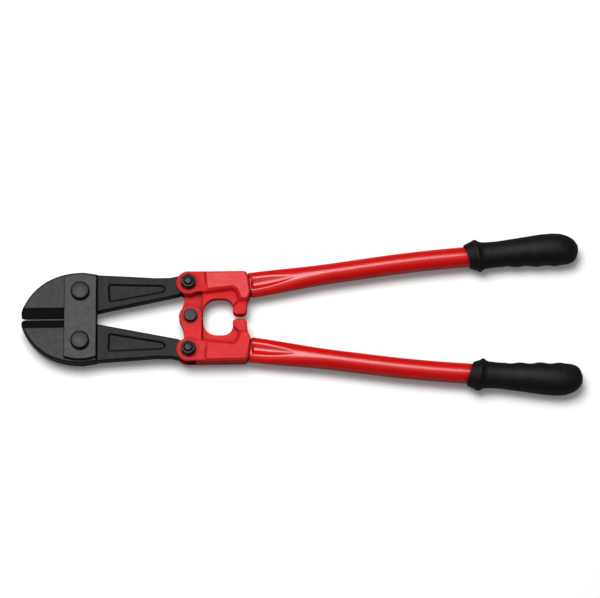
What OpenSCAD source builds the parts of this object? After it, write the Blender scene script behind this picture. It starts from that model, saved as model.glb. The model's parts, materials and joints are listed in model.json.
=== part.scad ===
// Bolt cutters, 24 inch class, lying flat with the handles closed.
// Compound action: the handles pivot on each other, each handle head carries the tail
// of one jaw in a fork, and two clip plates hold the jaws together near the blades.
// Lengths in millimetres. +X runs from the jaws to the grips, +Y to the upper handle.
// Every module works in the tool frame, with the centre bolt's axis at x = y = 0 and
// the middle plane of the jaws at z = 0. place() then stands the tool on the floor.

/* [Jaws] */
// Thickness of the blades
jaw_t = 15; // [13:0.5:16]
// Thickness of the tails that go into the forks
tail_t = 11; // [9:0.5:11]
// Distance of each clip bolt from the centre line
clip_bolt_y = 28.4; // [27:0.1:30]
// Distance of the clip bolts in front of the centre bolt
clip_bolt_reach = 120; // [116:0.5:124]
// Length of the blades in front of the clip bolts
blade_len = 64.4; // [58:0.2:66]
// Half of the height over both blades
blade_h = 52; // [50:0.1:53]
// Width of the ground bevel along each cutting edge
bevel_w = 11; // [8:0.5:12]
// Gap between the cutting edges
edge_gap = 1.1; // [1:0.1:3]

/* [Clip plates] */
// Width of the clip plates
clip_w = 35.5; // [30:0.5:38]
// Thickness of each clip plate
clip_t = 4.8; // [4:0.1:6]
// Radius of the rounded ends, about the middle of the plate
clip_end_r = 49.1; // [46:0.1:50]

/* [Handle heads] */
// Distance of each jaw bolt from the centre line
jaw_bolt_y = 38.3; // [37:0.1:40]
// Distance of the jaw bolts in front of the centre bolt
jaw_bolt_back = 2.2; // [1:0.1:3]
// Half of the thickness over the raised pads
pad_z = 10.5; // [10:0.1:11]
// Half of the thickness over the fork ears
ear_z = 9.5; // [9:0.1:9.8]
// Half of the thickness of the web round the middle opening
web_z = 4; // [3:0.1:5]
// Half of the thickness of the bumpers
bumper_z = 5.2; // [4.5:0.1:6]
// Outer face of each half-lapped centre lug
lug_z = 8; // [7:0.1:8.5]
// Radius of the fork ears
ear_r = 13.2; // [12.5:0.1:13.5]
// Radius of the centre lugs
lug_r = 12.6; // [11:0.1:12.6]
// Gap between the two bumpers
bumper_gap = 4.2; // [3:0.1:6]

/* [Handles] */
// Outer diameter of the handle tubes
tube_d = 22.2; // [20:0.1:24]
// Wall of the handle tubes
tube_wall = 2; // [1.5:0.1:2.2]
// Slope of the handles next to the heads, in degrees
head_slope = 8.1; // [7.5:0.1:8.5]
// Slope of the handles in the grips, in degrees
grip_slope = 4.4; // [4:0.1:5]
// Length of each tube
tube_len = 351; // [330:1:360]
// Length of the grips
grip_len = 122; // [115:1:126]

/* [Fasteners] */
// Diameter of the centre bolt and the jaw bolts
bolt_d = 9.52; // [8:0.01:10]
// Diameter of the clip bolts
clip_bolt_d = 12.5; // [11:0.1:13]
// Diameter of the clip bolts' domed heads
clip_head_d = 20.5; // [18:0.1:22]
// Width across the flats of the small nuts
nut_af = 14.3; // [13:0.1:15]

/* [Hidden] */
$fn = 64;

black_steel = [0.20, 0.20, 0.21];
bolt_steel = [0.27, 0.27, 0.28];
red_forging = [0.80, 0.12, 0.12];
red_tube = [0.72, 0.03, 0.04];
black_rubber = [0.09, 0.09, 0.09];

// Gap between faces that slide on each other, and radial gap of a running bolt
slide_gap = 0.15;
running = 0.05;
// How far a cut runs past the face it opens
past = 1;

clip_bolt = [-clip_bolt_reach, clip_bolt_y];
jaw_bolt = [-jaw_bolt_back, jaw_bolt_y];
nose_x = -clip_bolt_reach - blade_len;
clip_face_z = jaw_t / 2 + slide_gap;
clip_outer_z = clip_face_z + clip_t;
clip_nut_t = 5.05;
rest_z = -clip_outer_z - clip_nut_t;

// ---------------------------------------------------------------- outlines

function unit(v) = v / norm(v);
// Points of an arc about c, from angle a0 to a1
function arc(c, r, a0, a1, n = 12) =
    [for (i = [0:n]) let (a = a0 + (a1 - a0) * i / n) c + r * [cos(a), sin(a)]];
// The corner at b between a and c, rounded to radius r
function corner(a, b, c, r, n = 6) =
    let (u = unit(a - b), v = unit(c - b), half = acos(u * v) / 2)
    let (centre = b + unit(u + v) * r / sin(half), reach = r / tan(half))
    let (p = b + u * reach - centre, q = b + v * reach - centre)
    let (a0 = atan2(p[1], p[0]), turn = atan2(cross(p, q), p * q))
    [for (i = [0:n]) let (t = a0 + turn * i / n) centre + r * [cos(t), sin(t)]];
// An outline whose vertices are [x, y, corner radius]
function rounded(pts) = let (n = len(pts)) [
    for (i = [0:n - 1])
        let (a = pts[(i + n - 1) % n], b = pts[i], c = pts[(i + 1) % n])
        each (b[2] == 0 ? [[b[0], b[1]]]
            : corner([a[0], a[1]], [b[0], b[1]], [c[0], c[1]], b[2]))
];
// A cubic curve between a and d, drawn towards b and c
function curve(a, b, c, d, n = 16) = [
    for (i = [0:n]) let (t = i / n, s = 1 - t)
        s * s * s * a + 3 * s * s * t * b + 3 * s * t * t * c + t * t * t * d
];

module slab(z0, z1) {
    translate([0, 0, z0]) linear_extrude(z1 - z0) children();
}

// ---------------------------------------------------------------- jaws

heel_y = 0.5;                    // the heels' distance from the centre line
nose_h = 7.5;                    // height of the blunt nose
throat_x = nose_x + 49.3;        // where the bevel ends, under the clip plates
crown = [nose_x + 67.4, blade_h];
step_x = -clip_bolt_reach + clip_w / 2 + 1;   // from blade thickness to tail thickness
eye_r = 11.3;
tail_inner = [-13, 25.4];        // where the tail's inner edge meets the eye
tail_outer = [[-100, 49.3], [-66, 47.2], [-38, 45.3], [-22, 45.4]];

jaw_outline = concat(
    // the cutting edge's corner is worn round
    curve([nose_x + 4, edge_gap / 2], [nose_x + 2, edge_gap / 2],
        [nose_x, edge_gap / 2 + 1], [nose_x, edge_gap / 2 + 3], 4),
    curve([nose_x, nose_h], [nose_x + 5.4, 21.5], [nose_x + 21, blade_h], crown),
    tail_outer,
    arc(jaw_bolt, eye_r, 112, -120, 16),
    [tail_inner, [throat_x + 1.5, heel_y], [throat_x - 4, heel_y], [throat_x - 4, edge_gap / 2]]
);

// Clearance for the clip bolt in the upper jaw: half its width past the bolt's radius,
// and how far it runs towards the blade's edge and away from it
slot_in = 6.4;
slot_out = 0.45;
slot_side = 0.5;

module clip_bolt_hole(slotted) {
    r = clip_bolt_d / 2;
    translate(clip_bolt) {
        if (slotted) {
            wide = r + 0.1;
            translate([0, slot_out, -jaw_t]) cylinder(r = wide, h = 2 * jaw_t);
            translate([slot_side / 2, -slot_in, -jaw_t])
                cylinder(r = wide + slot_side / 2, h = 2 * jaw_t);
            translate([-wide, -slot_in, -jaw_t])
                cube([2 * wide + slot_side, slot_in + slot_out, 2 * jaw_t]);
        } else {
            translate([0, 0, -jaw_t]) cylinder(r = r + running, h = 2 * jaw_t);
        }
    }
}

// One side of the ground bevel: a wedge taken off from the blade's face to its edge
module bevel_cut() {
    edge_y = edge_gap / 2;
    land = 0.4;                  // half of the flat left along the cutting edge
    reach = throat_x - nose_x + past;
    translate([nose_x - past, 0, 0])
        rotate([90, 0, 90])
            linear_extrude(reach)
                polygon([
                    [edge_y - past, land], [edge_y, land],
                    [edge_y + bevel_w, jaw_t / 2],
                    [edge_y + bevel_w, jaw_t], [edge_y - past, jaw_t]
                ]);
}

// Forged pocket in a face of the tail
module tail_pocket() {
    depth = 1.3;
    slab(tail_t / 2 - depth, tail_t / 2 + past)
        polygon(rounded([
            [-90, 38.8, 3], [-89, 17.8, 2.5], [-31, 28.2, 4], [-25.5, 33, 3], [-31, 36.8, 4]
        ]));
}

// The upper jaw; its mirror image is the lower jaw
module jaw(slotted) {
    difference() {
        slab(-jaw_t / 2, jaw_t / 2) polygon(jaw_outline);
        for (side = [0, 1]) mirror([0, 0, side]) {
            bevel_cut();
            tail_pocket();
            translate([step_x, -past, tail_t / 2])
                cube([-step_x + 2 * eye_r, blade_h + 2 * past, jaw_t]);
        }
        clip_bolt_hole(slotted);
        translate([jaw_bolt[0], jaw_bolt[1], -jaw_t])
            cylinder(r = bolt_d / 2 + running, h = 2 * jaw_t);
    }
}

module upper_jaw() place() color(black_steel) jaw(true);
module lower_jaw() place() color(black_steel) mirror([0, 1, 0]) jaw(false);

// ---------------------------------------------------------------- clip plates

// Front plate; the rear one is the same piece turned over
module clip_plate() {
    difference() {
        intersection() {
            translate([-clip_bolt_reach, 0, clip_face_z]) cylinder(r = clip_end_r, h = clip_t);
            translate([-clip_bolt_reach - clip_w / 2, -clip_end_r, clip_face_z])
                cube([clip_w, 2 * clip_end_r, clip_t]);
        }
        for (side = [-1, 1])
            translate([clip_bolt[0], side * clip_bolt[1], clip_face_z - past])
                cylinder(r = clip_bolt_d / 2 + running, h = clip_t + 2 * past);
    }
}

module front_clip() place() color(black_steel) clip_plate();
module rear_clip() place() color(black_steel) rotate([180, 0, 0]) clip_plate();

// ---------------------------------------------------------------- fasteners

// A shank along z with chamfered ends
module shank(d, z0, z1) {
    cham = 0.8;
    rotate_extrude()
        polygon([
            [0, z0], [d / 2 - cham, z0], [d / 2, z0 + cham],
            [d / 2, z1 - cham], [d / 2 - cham, z1], [0, z1]
        ]);
}

// A hexagon prism with its corners turned off at both faces
module hexagon(af, h) {
    corner_r = af / 2 / cos(30);
    intersection() {
        cylinder(r = corner_r, h = h, $fn = 6);
        rotate_extrude()
            polygon([
                [0, 0], [af / 2, 0], [corner_r, (corner_r - af / 2) / 2],
                [corner_r, h - (corner_r - af / 2) / 2], [af / 2, h], [0, h]
            ]);
    }
}

module nut(af, h, bore_d) {
    difference() {
        hexagon(af, h);
        translate([0, 0, -past]) cylinder(d = bore_d + 0.04, h = h + 2 * past);
    }
}

// Spring washer, split at one side
module spring_washer(h) {
    difference() {
        cylinder(d = nut_af + 2.1, h = h);
        translate([0, 0, -past]) cylinder(d = bolt_d + 0.3, h = h + 2 * past);
        translate([0, -0.6, -past]) rotate([0, 12, 0]) cube([nut_af, 1.2, 3 * h + past]);
    }
}

clip_head_h = 5.9;
clip_nut_af = 19;
jaw_bolt_head_h = 5.2;
jaw_nut_h = 5;
washer_h = 1.8;
jaw_stud_z = 18;
centre_head_d = 14.2;
centre_head_h = 5;
centre_nut_h = 5;

// Clip bolt: a low domed head on the front plate, flush with its nut behind
module clip_bolt_piece() {
    r = clip_head_d / 2;
    translate(clip_bolt) {
        shank(clip_bolt_d, rest_z, clip_outer_z + 1);
        translate([0, 0, clip_outer_z])
            rotate_extrude()
                polygon(concat(
                    [[0, 0], [r, 0]],
                    curve([r, 4], [r, 5], [r - 0.5, 5.3], [r - 1.6, 5.4], 5),
                    [[r * 0.45, clip_head_h - 0.1], [0, clip_head_h]]
                ));
    }
}

module clip_nut_piece() {
    translate([clip_bolt[0], clip_bolt[1], rest_z]) nut(clip_nut_af, clip_nut_t, clip_bolt_d);
}

// Jaw bolt: hexagon head behind the fork, stud end through its nut in front
module jaw_bolt_piece() {
    translate(jaw_bolt) {
        shank(bolt_d, -ear_z - 1, jaw_stud_z);
        translate([0, 0, -ear_z - jaw_bolt_head_h]) hexagon(nut_af, jaw_bolt_head_h);
    }
}

module jaw_washer_piece() {
    translate([jaw_bolt[0], jaw_bolt[1], ear_z]) rotate([0, 0, 40]) spring_washer(washer_h);
}

module jaw_nut_piece() {
    translate([jaw_bolt[0], jaw_bolt[1], ear_z + washer_h]) nut(nut_af, jaw_nut_h, bolt_d);
}

// Fasteners of the lower handle stand the same way up as those of the upper one
module lower() { mirror([0, 1, 0]) children(); }

module upper_clip_bolt() place() color(bolt_steel) clip_bolt_piece();
module lower_clip_bolt() place() color(bolt_steel) lower() clip_bolt_piece();
module upper_clip_nut() place() color(bolt_steel) clip_nut_piece();
module lower_clip_nut() place() color(bolt_steel) lower() clip_nut_piece();
module upper_jaw_bolt() place() color(bolt_steel) jaw_bolt_piece();
module lower_jaw_bolt() place() color(bolt_steel) lower() jaw_bolt_piece();
module upper_jaw_washer() place() color(bolt_steel) jaw_washer_piece();
module lower_jaw_washer() place() color(bolt_steel) lower() jaw_washer_piece();
module upper_jaw_nut() place() color(bolt_steel) jaw_nut_piece();
module lower_jaw_nut() place() color(bolt_steel) lower() jaw_nut_piece();

module centre_bolt() place() color(bolt_steel) {
    r = centre_head_d / 2;
    shank(bolt_d, -lug_z - washer_h - centre_nut_h - 1, lug_z + 1);
    translate([0, 0, lug_z])
        rotate_extrude()
            polygon([[0, 0], [r, 0], [r, centre_head_h - 1], [r - 1, centre_head_h],
                [0, centre_head_h]]);
}

module centre_washer() place() color(bolt_steel)
    translate([0, 0, -lug_z - washer_h]) spring_washer(washer_h);

module centre_nut() place() color(bolt_steel)
    translate([0, 0, -lug_z - washer_h - centre_nut_h]) nut(nut_af, centre_nut_h, bolt_d);

// ---------------------------------------------------------------- handle heads

head_top = jaw_bolt[1] + ear_r - 0.7;        // outer edge of the bar
tube_start = [64.3, 37];                     // where the tube's axis leaves the head
web_x = lug_r + 0.4;                         // left edge of the web
column_x = [-7, 12.4];                       // sides of the column that carries the lug
opening_c = 29.8;                            // middle of the opening between the heads
opening = [16.2, 21];                        // half width and half height of the opening
opening_r = [15, 10.5];                      // its corners towards the jaws and the grips

function along(p, a, s) = p + s * [cos(a), sin(a)];
function across(p, a, t) = p + t * [-sin(a), cos(a)];

// The shoulder that the tube's end rests on, square to the tube
shoulder_top = across(tube_start, head_slope, (head_top - tube_start[1]) / cos(head_slope));
shoulder_low = across(tube_start, head_slope, -10.5);
hook_y = 18.9;                               // the hook's end
hook_x = [54.6, 62.6];                       // its sides there

// Bar and hook of the forging, at ear thickness
bar_outline = rounded([
    [jaw_bolt[0], head_top, 0], [shoulder_top[0], shoulder_top[1], 5.5],
    [shoulder_low[0], shoulder_low[1], 2], [hook_x[1], hook_y, 2], [hook_x[0], hook_y, 1.2],
    [49.6, 33, 7], [jaw_bolt[0], 26.4, 0]
]);

// Raised pad, set a little inside the bar's edges; its step leans a little
pad_x = 17.6;
pad_lean = 0.7;
pad_outline = rounded([
    [pad_x - pad_lean, head_top - 0.7, 1],
    [shoulder_top[0] - 0.8, head_top - 0.7, 5],
    [shoulder_low[0] - 0.8, shoulder_low[1] + 0.3, 2],
    [hook_x[1] - 0.5, hook_y + 0.7, 2], [hook_x[0] + 0.7, hook_y + 0.7, 1],
    [50.4, 33.8, 7.5], [pad_x + pad_lean, 30.6, 1]
]);

// Web round the middle opening
web_outline = [
    [web_x, 36], [web_x, 1.4], [opening_c, 1.4], [47, 8], [53, 15], [60, 24], [60, 36]
];

// Thicker bumper at the hook's end, which stops against the other handle's
bumper_outline = rounded([
    [52.5, 24, 0], [52.2, 16.8, 1], [45.8, 10.4, 2.5], [45.8, bumper_gap / 2, 5.5],
    [61.2, bumper_gap / 2, 5.5], [hook_x[1] - 0.9, 12, 0], [hook_x[1] - 0.9, 24, 0]
]);

// Column with the lug round the centre bolt
module lug_outline() {
    circle(r = lug_r);
    polygon(concat(
        [[column_x[1], 0], [column_x[1], 30], [column_x[0], 30], [column_x[0], 22]],
        curve([column_x[0], 22], [-7, 17], [-9.6, 12], [-11.4, 5.4], 6)
    ));
}

// Open space for the jaw's tail between the fork's ears, over the whole swing
module fork_slot() {
    slot_r = eye_r + 0.8;
    slab(-tail_t / 2 - slide_gap - 0.05, tail_t / 2 + slide_gap + 0.05) {
        translate(jaw_bolt) circle(r = slot_r);
        translate([jaw_bolt[0] - 30, jaw_bolt[1]]) square([38, 30]);
        translate([jaw_bolt[0] - 30, 20]) square([30 - 5.4, jaw_bolt[1] - 19]);
    }
}

// Opening between the two heads: this head's half of a rounded rectangle
module middle_opening() {
    slab(-web_z - past, web_z + past)
        translate([opening_c, 0])
            polygon(rounded([
                [-opening[0], -past, 0], [-opening[0], opening[1], opening_r[0]],
                [opening[0], opening[1], opening_r[1]], [opening[0], -past, 0]
            ]));
}

// Crimp in the tube and the tang's groove below it: a teardrop whose floor rises to
// the surface at its point. grow widens and deepens it for the space under the wall
crimp_len = 52;
crimp_floor = 4.6;
crimp_rise = 5.5;

module crimp(grow) {
    half_h = 6.6 + grow;
    translate([2.5 - grow, 0, crimp_floor - grow])
        rotate([0, -crimp_rise, 0])
            linear_extrude(12)
                polygon(rounded([
                    [0, half_h, 3 + grow], [0, -half_h, 3 + grow],
                    [14, -half_h, 12], [crimp_len, 0, 1], [14, half_h, 12]
                ]));
}

// Tang that the tube is pressed over, in the tube's own frame
tang_len = 46;
tang_end_w = 9;                  // half width of its end
tang_gap = 0.15;
module tang() {
    root = 4;                    // how far it reaches into the forging
    under = tube_wall + tang_gap;
    difference() {
        intersection() {
            translate([-root, 0, 0]) rotate([90, 0, 90])
                linear_extrude(tang_len + root) polygon(flat_ring(0, under));
            slab(-flat_t, flat_t)
                polygon([
                    [-root, flat_w], [0, flat_w - tube_wall], [tang_len, tang_end_w],
                    [tang_len, -tang_end_w], [0, tube_wall - flat_w], [-root, -flat_w]
                ]);
        }
        for (side = [0, 1]) mirror([0, 0, side]) crimp(under);
    }
}

// The upper handle's forging; turned over it is the lower one
module handle_head() {
    difference() {
        union() {
            difference() {
                union() {
                    slab(-ear_z, ear_z) {
                        translate(jaw_bolt) circle(r = ear_r);
                        polygon(bar_outline);
                    }
                    slab(-pad_z, pad_z) polygon(pad_outline);
                    difference() {
                        slab(-web_z, web_z) polygon(web_outline);
                        middle_opening();
                    }
                    slab(-bumper_z, bumper_z) polygon(bumper_outline);
                }
                fork_slot();
            }
            slab(-lug_z, -slide_gap) lug_outline();
            // the web runs into the column
            slab(-web_z, -slide_gap) translate([column_x[1] - 1, 1.4]) square([3, 28]);
        }
        translate([jaw_bolt[0], jaw_bolt[1], -pad_z - past])
            cylinder(r = bolt_d / 2 + running, h = 2 * (pad_z + past));
        translate([0, 0, -pad_z - past])
            cylinder(r = bolt_d / 2 + running, h = 2 * (pad_z + past));
        // the jaw's eye turns over the column
        translate([jaw_bolt[0], jaw_bolt[1], -tail_t / 2 - slide_gap - 0.05])
            cylinder(r = eye_r + 0.8, h = tail_t + 2 * slide_gap + 0.1);
    }
    in_tube_frame() tang();
}

module in_tube_frame() {
    translate(tube_start) rotate([0, 0, head_slope]) children();
}

module upper_handle_head() place() color(red_forging) handle_head();
module lower_handle_head() place() color(red_forging) rotate([180, 0, 0]) handle_head();

// ---------------------------------------------------------------- handle tubes

flat_w = 14.2;                   // half width of the flattened end
flat_t = 6.8;                    // half thickness of the flattened end
round_from = 92;                 // where the tube is round again
bend_from = 136;                 // where the gentle bend starts
bend_r = 1500;
bend_turn = head_slope - grip_slope;
bend_len = bend_r * bend_turn * PI / 180;
tube_sides = 36;

function ease(t) = t * t * (3 - 2 * t);
function mix(a, b, t) = a + (b - a) * t;
// A ring of the tube: the oval of the flattened end turns into a circle
function flat_ring(s, shrink) = let (t = ease(max(0, min(1, s / round_from))), r = tube_d / 2)
    let (w = mix(flat_w, r, t) - shrink, h = mix(flat_t, r, t) - shrink, e = mix(0.72, 1, t))
    [for (i = [0:tube_sides - 1]) let (a = 360 * i / tube_sides)
        [w * sign(cos(a)) * pow(abs(cos(a)), e), h * sign(sin(a)) * pow(abs(sin(a)), e)]];

// A solid through rings of equal length, closed by its first and last ring
module loft(rings) {
    n = len(rings[0]);
    last = len(rings) - 1;
    polyhedron(
        points = [for (ring = rings) each ring],
        faces = concat(
            [[for (i = [0:n - 1]) i]],
            [for (k = [0:last - 1], i = [0:n - 1]) let (j = (i + 1) % n)
                each [[k * n + i, (k + 1) * n + i, (k + 1) * n + j],
                    [k * n + i, (k + 1) * n + j, k * n + j]]],
            [[for (i = [n - 1:-1:0]) last * n + i]]
        )
    );
}

// The tube's path in its own plane: straight run, gentle bend, straight run
bend_end = along([bend_from, 0], -bend_turn / 2, 2 * bend_r * sin(bend_turn / 2));
function turned_by(s) = bend_turn * max(0, min(1, (s - bend_from) / bend_len));
function path_at(s) =
    s <= bend_from ? [s, 0]
    : s < bend_from + bend_len
        ? along([bend_from, 0], -turned_by(s) / 2, 2 * bend_r * sin(turned_by(s) / 2))
    : along(bend_end, -bend_turn, s - bend_from - bend_len);

// The tube as a solid from start to end, or with shrink the space inside it
module tube_solid(shrink, start, end) {
    bend_step = bend_len / 4;
    loft([for (s = [start, each [12:10:round_from],
            each [bend_from:bend_step:bend_from + bend_len + 0.01], end])
        [for (p = flat_ring(s, shrink))
            let (q = across(path_at(s), -turned_by(s), p[0])) [q[0], q[1], p[1]]]]);
}

module handle_tube() {
    in_tube_frame()
        difference() {
            tube_solid(0, 0, tube_len);
            for (side = [0, 1]) mirror([0, 0, side]) crimp(0);
            difference() {
                tube_solid(tube_wall, -past, tube_len + past);
                for (side = [0, 1]) mirror([0, 0, side]) crimp(tube_wall);
            }
        }
}

module upper_handle_tube() place() color(red_tube) handle_tube();
module lower_handle_tube() place() color(red_tube) rotate([180, 0, 0]) handle_tube();

// ---------------------------------------------------------------- grips

grip_cover = 110;                // length of tube inside a grip
// Half width towards the palm and the fingers, and half thickness, along the grip
grip_stations = [
    [0, 13.0, 13.0, 13.2], [7, 16.0, 15.4, 15.8], [10.5, 18.0, 17.6, 17.3],
    [12, 18.0, 17.6, 17.3], [15.5, 15.4, 15.4, 15.0], [19, 14.4, 14.5, 14.2],
    [32, 14.1, 13.9, 14.0], [55, 15.7, 14.8, 15.6], [80, 17.8, 16.5, 17.4],
    [94, 18.1, 17.2, 17.5], [104, 16.7, 17.4, 16.6], [110, 14.4, 17.2, 14.9],
    [115, 11.6, 15.8, 12.4], [118.5, 8.6, 12.8, 9.6], [120.8, 5.0, 8.6, 6.2],
    [122, 1.6, 3.4, 2.4]
];
grip_rings = [0, 4, 7, 10.5, 12, 13.5, 15.5, 19, 25, each [32:5.4:96.8], 100, 104, 107, 110,
    112.5, 115, 117, 118.5, 120, 120.8, 121.5, 122];
grip_sides = 28;
wave_pitch = 21.6;
wave_h = 0.7;
wave_from = 37.1;                // where the waves start
mouth_lean = 0.22;

function station(s, k) = lookup(s, [for (g = grip_stations) [g[0], g[k]]]);
// Finger waves on the inner side
function wave(s) = s < wave_from || s > wave_from + 3 * wave_pitch ? 0
    : -wave_h * sin(360 * (s - wave_from) / wave_pitch);
function grip_ring(s) = let (lean = mouth_lean * max(0, 1 - s / 24))
    [for (i = [0:grip_sides - 1])
        let (a = 360 * (i + 0.5) / grip_sides, e = 0.92)
        let (w = cos(a) > 0 ? station(s, 1) : station(s, 2) + wave(s))
        let (y = w * sign(cos(a)) * pow(abs(cos(a)), e))
        [s * grip_len / 122 - lean * y, y,
            station(s, 3) * sign(sin(a)) * pow(abs(sin(a)), e) / pow(cos(180 / grip_sides), e)]];

grip_start = path_at(tube_len - grip_cover);

module grip() {
    in_tube_frame()
        translate(grip_start) rotate([0, 0, -bend_turn])
            difference() {
                loft([for (s = grip_rings) grip_ring(s)]);
                translate([-8, 0, 0]) rotate([0, 90, 0])
                    cylinder(r = tube_d / 2 + running, h = 8 + grip_cover);
            }
}

module upper_grip() place() color(black_rubber) grip();
module lower_grip() place() color(black_rubber) rotate([180, 0, 0]) grip();

// ---------------------------------------------------------------- placing

// The grip's furthest point along x, which with the nose sets the middle of the tool
function turned(p, a) = [p[0] * cos(a) - p[1] * sin(a), p[0] * sin(a) + p[1] * cos(a)];
grip_origin_x = tube_start[0] + turned(grip_start, head_slope)[0];
grip_end_x = grip_origin_x
    + max([for (s = grip_rings) each [for (p = grip_ring(s)) turned(p, grip_slope)[0]]]);

module place() {
    translate([-(nose_x + grip_end_x) / 2, 0, -rest_z]) children();
}

upper_jaw();
lower_jaw();
front_clip();
rear_clip();
upper_clip_bolt();
lower_clip_bolt();
upper_clip_nut();
lower_clip_nut();
upper_handle_head();
lower_handle_head();
upper_handle_tube();
lower_handle_tube();
upper_grip();
lower_grip();
upper_jaw_bolt();
lower_jaw_bolt();
upper_jaw_washer();
lower_jaw_washer();
upper_jaw_nut();
lower_jaw_nut();
centre_bolt();
centre_washer();
centre_nut();
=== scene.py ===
"""The looks of the bolt cutters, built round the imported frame.

Shapes are written in the tool's own frame, in millimetres: the centre bolt's axis is x = y = 0,
the jaws' middle plane is z = 0, +X runs to the grips and +Y to the upper handle.
"""

import json
import math

import bpy
import numpy as np
from mathutils import Matrix, Vector


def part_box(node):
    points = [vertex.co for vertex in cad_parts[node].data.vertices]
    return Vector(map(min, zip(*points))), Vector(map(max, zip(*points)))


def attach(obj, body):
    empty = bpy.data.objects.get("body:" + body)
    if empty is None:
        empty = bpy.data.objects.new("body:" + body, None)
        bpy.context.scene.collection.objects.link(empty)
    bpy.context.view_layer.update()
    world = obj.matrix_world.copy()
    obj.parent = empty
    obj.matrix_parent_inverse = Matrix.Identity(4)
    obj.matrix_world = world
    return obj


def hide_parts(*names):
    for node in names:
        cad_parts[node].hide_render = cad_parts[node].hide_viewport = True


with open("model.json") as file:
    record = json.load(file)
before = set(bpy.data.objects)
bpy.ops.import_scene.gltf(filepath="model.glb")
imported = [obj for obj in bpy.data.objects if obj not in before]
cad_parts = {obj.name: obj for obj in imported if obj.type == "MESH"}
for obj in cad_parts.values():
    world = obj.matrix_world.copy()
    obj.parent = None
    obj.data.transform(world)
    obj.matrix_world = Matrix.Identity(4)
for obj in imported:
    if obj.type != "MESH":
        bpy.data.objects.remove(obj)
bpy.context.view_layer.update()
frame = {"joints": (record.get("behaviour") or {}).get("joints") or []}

MM = 0.001
joint_at = {joint["name"]: Vector(joint["pos_m"]) for joint in frame["joints"]}
tool_origin = joint_at["handle_pivot"]


def in_tool(point):
    """A point of the row frame, in the tool's frame."""
    return (Vector(point) - tool_origin) / MM


# ------------------------------------------------------------------ sizes, from the frame

JAW_BOLT = in_tool(joint_at["upper_jaw_pivot"])
CLIP_BOLT = Vector((in_tool(joint_at["clip_pivot"]).x, -in_tool(joint_at["clip_pivot"]).y, 0))


def node_size(node):
    """Lowest and highest corner of a CAD node, in the tool's frame."""
    low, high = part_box(node)
    return in_tool(low), in_tool(high)


FLOOR_Z = -tool_origin.z / MM
HEAD_INSET = 1.1           # the forgings' outer edges lie this far inside the CAD's
NOSE_X = node_size("upper_jaw")[0].x
CROWN_Y = node_size("upper_jaw")[1].y
JAW_HALF = node_size("upper_jaw")[1].z
CLIP_LOW, CLIP_HIGH = node_size("front_clip")
PAD_HALF = node_size("upper_handle_head")[1].z
HEAD_TOP = node_size("upper_handle_head")[1].y - HEAD_INSET
BOLT_R = 4.76              # 3/8 inch bolts
CLIP_BOLT_R = 6.25
CLIP_LOW_BACK = node_size("rear_clip")[0].z
JAW_STUD_Z = node_size("upper_jaw_bolt")[1].z
ROD_SIDES = 72
FLOOR_TONE = 0.3           # the floor's colour for light that falls back on the tool
FLOOR_SEEN = 1.0           # its colour for the camera
FLOOR_GLOW = 0.1           # and the glow that the camera sees on top
WORLD_FILL = 0.08

# ------------------------------------------------------------------ outlines


def arc(centre, radius, start, end, steps=12):
    """Points of an arc, angles in degrees."""
    angles = np.radians(np.linspace(start, end, steps + 1))
    return [(centre[0] + radius * math.cos(a), centre[1] + radius * math.sin(a)) for a in angles]


def curve(a, b, c, d, steps=16):
    """A cubic curve between a and d, drawn towards b and c."""
    points = []
    for t in np.linspace(0, 1, steps + 1):
        s = 1 - t
        weights = (s ** 3, 3 * s * s * t, 3 * s * t * t, t ** 3)
        points.append(tuple(sum(w * p[k] for w, p in zip(weights, (a, b, c, d))) for k in (0, 1)))
    return points


def rounded(corners, steps=6):
    """An outline whose corners are (x, y, radius)."""
    points = []
    count = len(corners)
    for i, (x, y, radius) in enumerate(corners):
        if radius == 0:
            points.append((x, y))
            continue
        here = Vector((x, y))
        to_last = (Vector(corners[i - 1][:2]) - here).normalized()
        to_next = (Vector(corners[(i + 1) % count][:2]) - here).normalized()
        half = math.acos(max(-1, min(1, to_last.dot(to_next)))) / 2
        centre = here + (to_last + to_next).normalized() * radius / math.sin(half)
        first = here + to_last * radius / math.tan(half) - centre
        last = here + to_next * radius / math.tan(half) - centre
        turn = math.atan2(first.x * last.y - first.y * last.x, first.dot(last))
        start = math.atan2(first.y, first.x)
        for t in np.linspace(start, start + turn, steps + 1):
            points.append((centre.x + radius * math.cos(t), centre.y + radius * math.sin(t)))
    return points


# ------------------------------------------------------------------ distance fields


class Grid:
    """A block of sample points: x and y are flat sheets, z is a column."""

    def __init__(self, low, high, step):
        self.step = step
        self.low = np.array(low, float) - 1.5 * step
        counts = np.ceil((np.array(high, float) + 1.5 * step - self.low) / step).astype(int) + 1
        axes = [self.low[k] + step * np.arange(counts[k]) for k in range(3)]
        self.x = axes[0][:, None, None]
        self.y = axes[1][None, :, None]
        self.z = axes[2][None, None, :]


def outline(points, grid):
    """Signed distance to an outline, negative inside, on the grid's sheet."""
    x, y = np.broadcast_arrays(grid.x, grid.y)
    nearest = np.full(x.shape, 1e12)
    inside = np.zeros(x.shape, bool)
    for (ax, ay), (bx, by) in zip(points, points[1:] + points[:1]):
        ex, ey = bx - ax, by - ay
        length = ex * ex + ey * ey
        if length < 1e-12:
            continue
        t = np.clip(((x - ax) * ex + (y - ay) * ey) / length, 0, 1)
        nearest = np.minimum(nearest, (x - ax - ex * t) ** 2 + (y - ay - ey * t) ** 2)
        if ay != by:
            inside ^= ((ay > y) != (by > y)) & (x < ex * (y - ay) / ey + ax)
    return np.where(inside, -1, 1) * np.sqrt(nearest)


def disc(centre, radius, grid):
    return np.hypot(grid.x - centre[0], grid.y - centre[1]) - radius


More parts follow.
